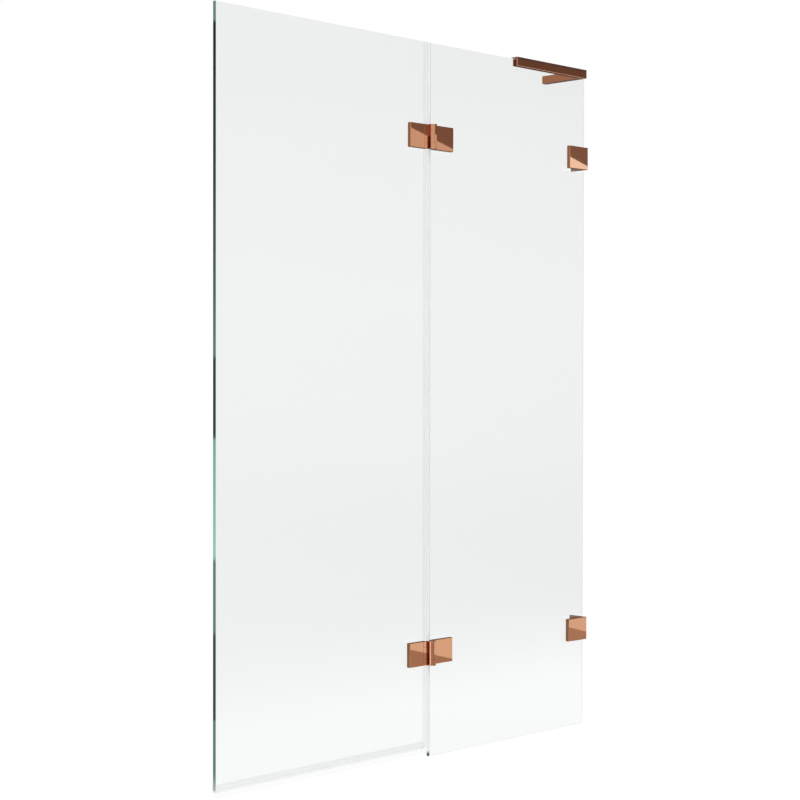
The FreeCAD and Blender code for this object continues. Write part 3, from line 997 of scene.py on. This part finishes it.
def fittingCards(name, s):
    fitting = s[name]
    boxes = [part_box(plate) for plate in fitting["plates"]]
    left = min(low.x for low, high in boxes)
    right = max(high.x for low, high in boxes)
    bottom, top = boxes[0][0].z, boxes[0][1].z
    middle = (bottom + top) / 2
    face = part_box("upper_clamp_plate")[0].y  # all plates share this front face
    camera = Vector(cameraSet["place"])

    def split(x):
        return middle + s["slope"] * (x - left - fitting["crossing"])

    def patch(x0, x1, turn, above):
        # the plate's part above or below the split, turned about x = turn where it is given
        low0, low1 = (split(x0), split(x1)) if above else (bottom - s["margin"],) * 2
        high0, high1 = (top + s["margin"],) * 2 if above else (split(x0), split(x1))
        spots = [(x0, low0), (x1, low1), (x1, high1), (x0, high0)]
        return [(x if turn is None else 2 * turn - x, face, z) for x, z in spots]

    eye = Vector((camera.x, 2 * face - camera.y, camera.z))  # mirrored in the plate
    centre = Vector(((left + right) / 2, face, middle))
    x0, x1 = left - s["margin"], right + s["margin"]
    throwCard(name + "Card", toneCard, eye, centre, s["reach"], [
        (patch(x0, x1, None, False), fitting["below"]), (patch(x0, x1, None, True), fitting["above"])])
    if "nook" not in fitting:
        return
    # a nook turns the eye half round: one pair of patches for the knuckle's side, one for the plate
    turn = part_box(fitting["plates"][1])[0].x
    eye = Vector((2 * turn - camera.x, 2 * face - camera.y, camera.z))
    inner, outer = face, face + s["nookDepth"]
    side = [[(turn, inner, z0), (turn, outer, z0), (turn, outer, z1), (turn, inner, z1)]
            for z0, z1 in ((middle, top + s["margin"]), (bottom - s["margin"], middle))]
    onPlate = [[t / c for t, c in zip(fitting[half], copperSet["first"])] for half in ("above", "below")]
    start = turn - s["nookDepth"]
    throwCard(name + "NookCard", nookCard, eye, Vector((turn, face, middle)), s["nookReach"], [
        (side[0], fitting["nook"][0]), (side[1], fitting["nook"][1]),
        (patch(start, turn, turn, True), onPlate[0]), (patch(start, turn, turn, False), onPlate[1])])


# the same for single flat faces: shares along and up the face, and the tone mirrored there
faceSet = {
    "reach": 0.75,
    "chamfer": 0.006,
    "chamferReach": 0.3,
    "chamferBands": [((-0.4, 0.2), (-0.1, 1.1), (1.0, 1.1, 1.3)),
                     ((0.2, 1.4), (-0.1, 1.1), (0.36, 0.3, 0.26))],
    "railBands": [((-0.02, 1.02), (0.86, 1.2), (0.08, 0.075, 0.09)),
                  ((-0.02, 1.02), (0.72, 0.86), (0.105, 0.088, 0.095)),
                  ((-0.02, 1.02), (-0.2, 0.72), (0.128, 0.096, 0.09))],
    "armBands": [((-0.05, 1.05), (-0.2, 1.2), (0.38, 0.3, 0.265))],
}


def faceCard(name, reach, corner, along, up, bands):
    camera = Vector(cameraSet["place"])
    normal = along.cross(up).normalized()
    eye = camera - 2 * (camera - corner).dot(normal) * normal
    throwCard(name, toneCard, eye, corner + (along + up) / 2, reach, [
        ([corner + along * a + up * b for a, b in ((a0, b0), (a1, b0), (a1, b1), (a0, b1))], tone)
        for (a0, a1), (b0, b1), tone in bands])


def faceCards(s):
    low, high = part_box("lower_hinge_fixed_leaf")
    c = s["chamfer"]
    faceCard("chamferCard", s["chamferReach"], Vector((low.x, low.y + c, low.z)), Vector((c, -c, 0)),
             Vector((0, 0, high.z - low.z)), s["chamferBands"])
    low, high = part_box("stabiliser_rail")
    faceCard("railCard", s["reach"], low.copy(), Vector((high.x - low.x, 0, 0)),
             Vector((0, 0, high.z - low.z)), s["railBands"])
    low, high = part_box("stabiliser_wall_arm")
    faceCard("armCard", s["reach"], Vector((low.x, high.y, low.z)), Vector((0, low.y - high.y, 0)),
             Vector((0, 0, high.z - low.z)), s["armBands"])


lampSet = {
    "key": {"place": (-2.2, -2.4, 3.0), "size": 2.0, "power": 45.0},
    "fill": {"place": (2.0, -2.2, 2.4), "size": 2.0, "power": 22.0},
    "back": {"place": (-0.4, 2.6, 2.8), "size": 2.0, "power": 30.0},
}


def makeLamp(name, s):
    data = bpy.data.lights.new(name, "AREA")
    data.energy = s["power"]
    data.size = s["size"]
    lamp = bpy.data.objects.new(name, data)
    place = Vector(s["place"])
    aim = (cadLow + cadHigh) / 2 - place
    lamp.matrix_world = Matrix.Translation(place) @ aim.to_track_quat("-Z", "Y").to_matrix().to_4x4()
    lamp.visible_glossy = False
    lamp.visible_transmission = False
    lamp.visible_camera = False
    scene.collection.objects.link(lamp)


makeWorld(studioSet)
makeFloor(studioSet)
toneCard = cardFinish("toneCard", 1)
nookCard = cardFinish("nookCard", 2)
makeTent(tentSet)
makeSweep(sweepSet)
for fitting in ("upperHinge", "lowerHinge", "upperClamp", "lowerClamp"):
    fittingCards(fitting, cardSet)
faceCards(faceSet)
for lamp, settings in lampSet.items():
    makeLamp(lamp + "Lamp", settings)
print("studio set")
